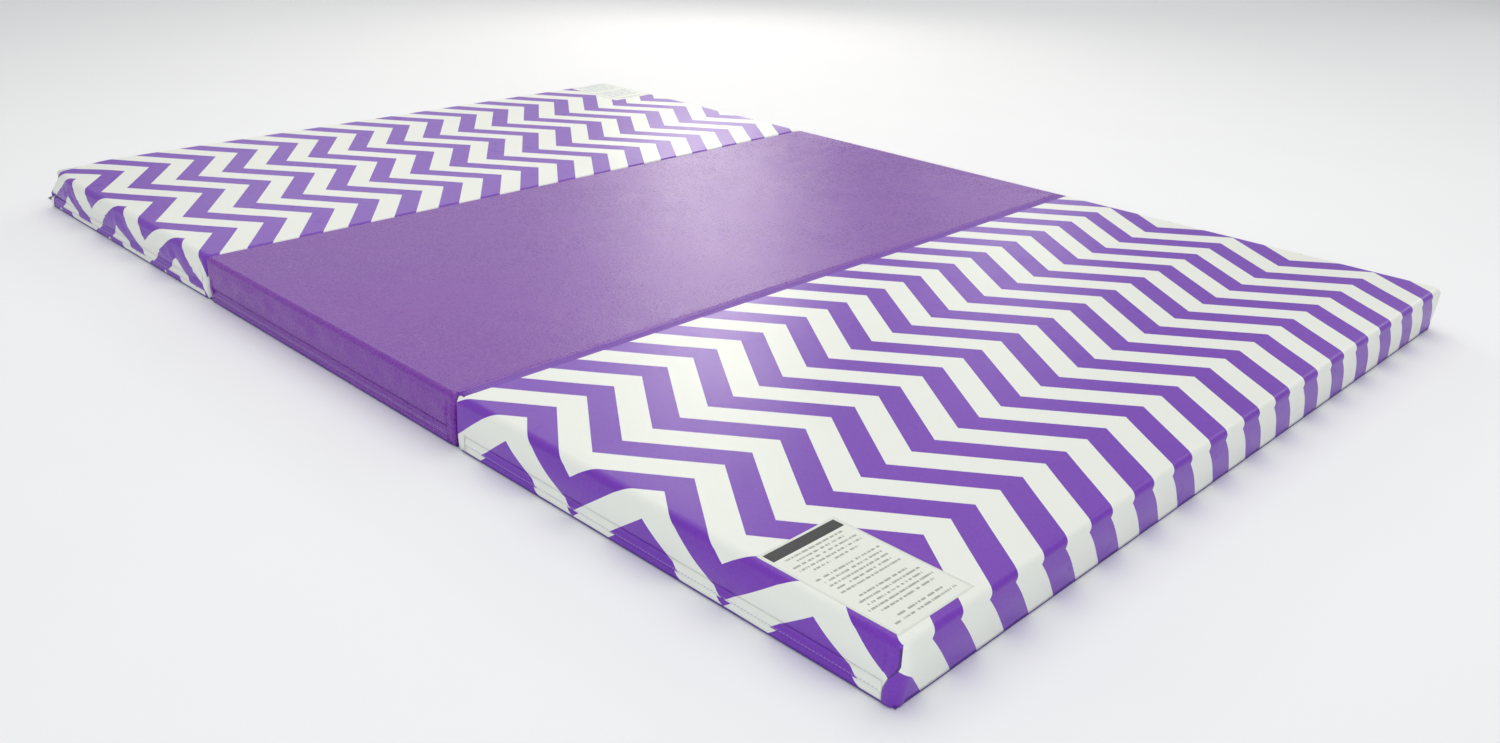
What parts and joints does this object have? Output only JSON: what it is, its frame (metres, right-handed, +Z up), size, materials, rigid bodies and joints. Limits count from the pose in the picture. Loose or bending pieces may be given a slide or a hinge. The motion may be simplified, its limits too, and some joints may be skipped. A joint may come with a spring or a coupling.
{
  "type": "folding gymnastics mat",
  "caption": "Flat folding gymnastics mat of foam panels in sewn vinyl covers, hinged by fabric seams, with zipped sides and a hook strip for joining mats.",
  "frame": {"origin": "centre of the middle panel's underside, on the floor", "axes": "+X along the open mat from the end with the hook strip to the other end; +Y from the side with the zips to the other long side; +Z up"},
  "size_m": [1.8795, 1.2192, 0.0637],
  "materials": {
    "printed_vinyl": "satin",
    "plain_vinyl": "satin",
    "underside_vinyl": "matte",
    "foam": "matte",
    "zip_tape": "matte",
    "zip_coil": "satin",
    "zip_stop": "satin",
    "zip_slider": "satin",
    "hook_backing": "matte",
    "hook_tape": "matte",
    "loop_pile": "matte",
    "label_vinyl": "satin"
  },
  "bodies": {
    "left_panel": {"left_foam_core": "foam", "left_top_cover": "printed_vinyl", "left_bottom_cover": "underside_vinyl", "left_zip_upper_tape": "zip_tape", "left_zip_lower_tape": "zip_tape", "left_zip_coil": "zip_coil", "left_zip_stops": "zip_stop", "bottom_hinge_left_leaf": "plain_vinyl", "corner_label": "label_vinyl"},
    "middle_panel": {"middle_foam_core": "foam", "middle_top_cover": "plain_vinyl", "middle_bottom_cover": "underside_vinyl", "middle_zip_upper_tape": "zip_tape", "middle_zip_lower_tape": "zip_tape", "middle_zip_coil": "zip_coil", "middle_zip_stops": "zip_stop", "bottom_hinge_middle_leaf": "plain_vinyl", "top_hinge_middle_leaf": "plain_vinyl"},
    "right_panel": {"right_foam_core": "foam", "right_top_cover": "printed_vinyl", "right_bottom_cover": "underside_vinyl", "right_zip_upper_tape": "zip_tape", "right_zip_lower_tape": "zip_tape", "right_zip_coil": "zip_coil", "right_zip_stops": "zip_stop", "top_hinge_right_leaf": "plain_vinyl", "loop_strip": "loop_pile", "safety_label": "label_vinyl"},
    "left_flap": {"left_hem_flap": "printed_vinyl"},
    "left_slider": {"left_zip_slider": "zip_slider"},
    "middle_flap": {"middle_hem_flap": "plain_vinyl"},
    "middle_slider": {"middle_zip_slider": "zip_slider"},
    "right_flap": {"right_hem_flap": "printed_vinyl"},
    "right_slider": {"right_zip_slider": "zip_slider"},
    "hook_strip": {"hook_flap": "hook_backing", "hook_tape": "hook_tape"}
  },
  "joints": [
    {"name": "top_seam_fold", "type": "hinge", "parent": "right_panel", "child": "middle_panel", "pos_m": [0.3048, 0, 0.0638], "axis": [0, 1, 0], "range_deg": [0, 180]},
    {"name": "bottom_seam_fold", "type": "hinge", "parent": "middle_panel", "child": "left_panel", "pos_m": [-0.3048, 0, -0.00015], "axis": [0, -1, 0], "range_deg": [0, 180]},
    {"name": "hook_strip_fold", "type": "hinge", "parent": "left_panel", "child": "hook_strip", "pos_m": [-0.9159, 0, 0.0011], "axis": [0, 1, 0], "range_deg": [0, 90]},
    {"name": "left_flap_lift", "type": "hinge", "parent": "left_panel", "child": "left_flap", "pos_m": [-0.6096, -0.6096, 0.02], "axis": [-1, 0, 0], "range_deg": [0, 150]},
    {"name": "left_slider_run", "type": "slide", "parent": "left_panel", "child": "left_slider", "axis": [-1, 0, 0], "range_m": [0, 0.55]},
    {"name": "middle_flap_lift", "type": "hinge", "parent": "middle_panel", "child": "middle_flap", "pos_m": [0, -0.6096, 0.02], "axis": [-1, 0, 0], "range_deg": [0, 150]},
    {"name": "middle_slider_run", "type": "slide", "parent": "middle_panel", "child": "middle_slider", "axis": [-1, 0, 0], "range_m": [0, 0.55]},
    {"name": "right_flap_lift", "type": "hinge", "parent": "right_panel", "child": "right_flap", "pos_m": [0.6096, -0.6096, 0.02], "axis": [-1, 0, 0], "range_deg": [0, 150]},
    {"name": "right_slider_run", "type": "slide", "parent": "right_panel", "child": "right_slider", "axis": [-1, 0, 0], "range_m": [0, 0.55]}
  ]
}
